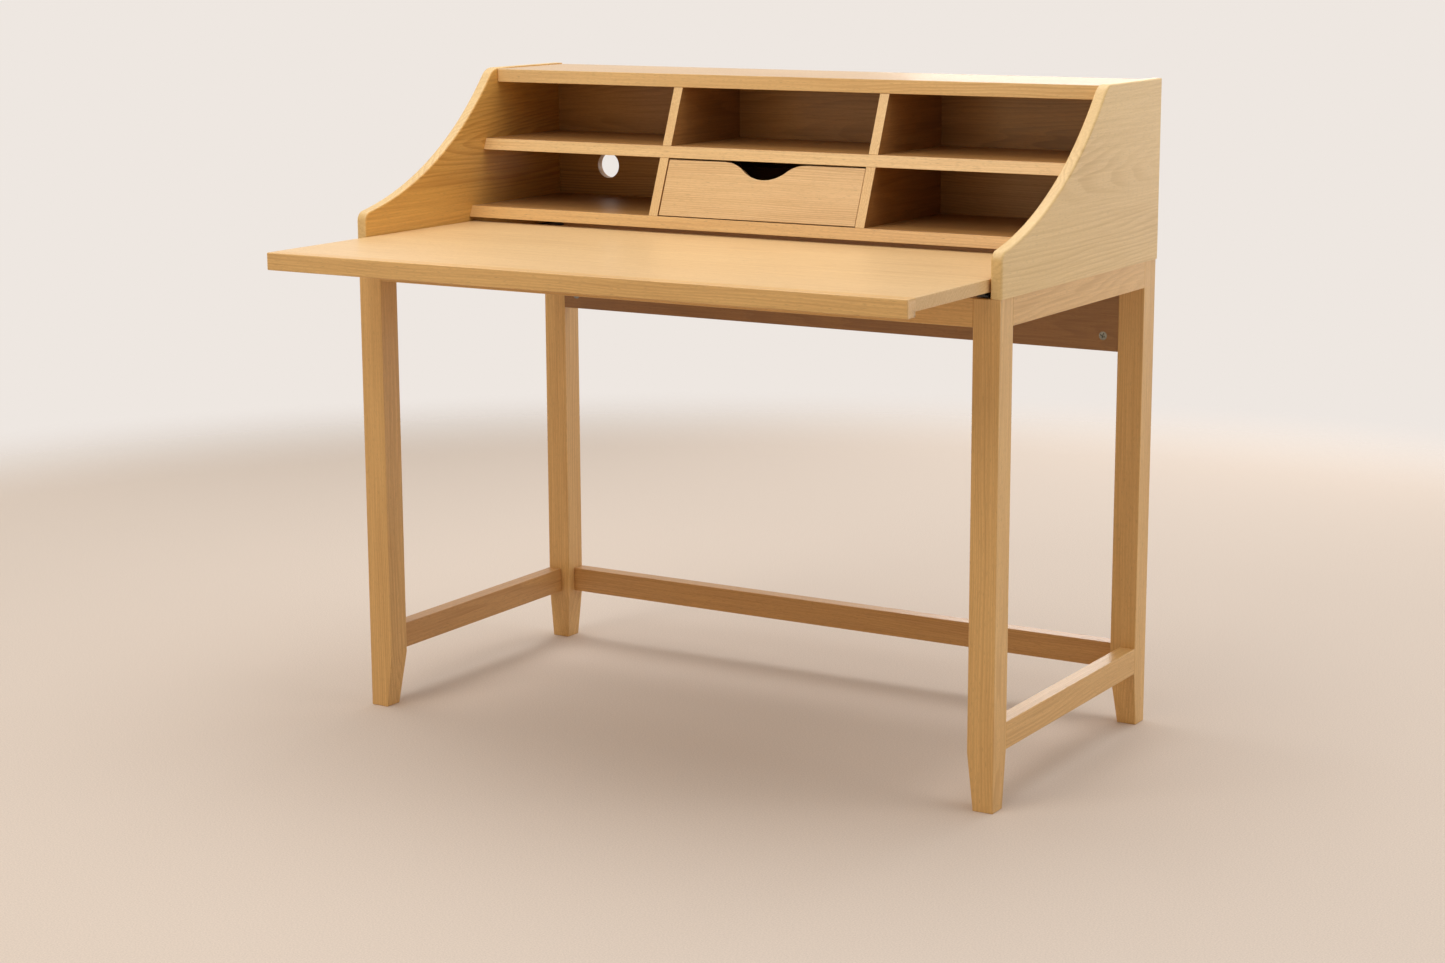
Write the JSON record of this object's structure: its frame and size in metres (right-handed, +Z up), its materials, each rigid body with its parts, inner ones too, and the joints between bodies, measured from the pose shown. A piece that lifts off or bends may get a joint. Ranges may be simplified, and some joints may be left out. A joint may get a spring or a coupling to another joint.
{
  "type": "writing desk",
  "caption": "Small writing desk: pull-out desktop under a pigeonhole hutch with curved side panels, a scoop-fronted drawer and tapered legs.",
  "frame": {"origin": "on the floor, in the middle of the outline with the desktop drawn out", "axes": "+X to the right seen from the front, +Y to the back, +Z up"},
  "size_m": [1.1, 0.776, 0.993],
  "materials": {
    "frame_oak": "light oak, vertical or lengthwise grain, clear matt lacquer",
    "hutch_oak": "light oak veneer, clear matt lacquer, softened edges",
    "desktop_oak": "light oak veneer with solid front lip, clear matt lacquer",
    "drawer_oak": "light oak, clear matt lacquer",
    "drawer_ply": "thin birch plywood, clear lacquer",
    "dowel_beech": "fluted beech dowel, untreated",
    "zinc": "zinc plated, satin",
    "black_steel": "black coated steel, satin"
  },
  "bodies": {
    "carcass": {"leg_front_left": "frame_oak", "leg_front_right": "frame_oak", "leg_back_left": "frame_oak", "leg_back_right": "frame_oak", "side_rail_left": "frame_oak", "side_rail_right": "frame_oak", "side_stretcher_left": "frame_oak", "side_stretcher_right": "frame_oak", "front_rail": "frame_oak", "back_apron": "frame_oak", "back_stretcher": "frame_oak", "side_panel_left": "hutch_oak", "side_panel_right": "hutch_oak", "top_panel": "hutch_oak", "mid_shelf": "hutch_oak", "bottom_shelf": "hutch_oak", "divider_upper_left": "hutch_oak", "divider_upper_right": "hutch_oak", "divider_lower_left": "hutch_oak", "divider_lower_right": "hutch_oak", "back_panel": "hutch_oak", "back_screws": "zinc", "dowels": "dowel_beech", "cam_locks": "zinc", "cam_bolts": "zinc", "slide_channel_left": "black_steel", "slide_channel_right": "black_steel", "channel_screws": "zinc"},
    "desktop": {"slide_bar_left": "black_steel", "slide_bar_right": "black_steel", "bar_screws": "zinc", "desktop_board": "desktop_oak", "desktop_lip": "desktop_oak", "lip_dowels": "dowel_beech"},
    "drawer": {"drawer_front": "drawer_oak", "drawer_side_left": "drawer_oak", "drawer_side_right": "drawer_oak", "drawer_back": "drawer_oak", "drawer_floor": "drawer_ply", "drawer_dowels": "dowel_beech"}
  },
  "joints": [
    {"name": "desktop_slide", "type": "slide", "parent": "carcass", "child": "desktop", "axis": [0, 1, 0], "range_m": [0, 0.236]},
    {"name": "drawer_slide", "type": "slide", "parent": "carcass", "child": "drawer", "axis": [0, -1, 0], "range_m": [0, 0.16]}
  ]
}
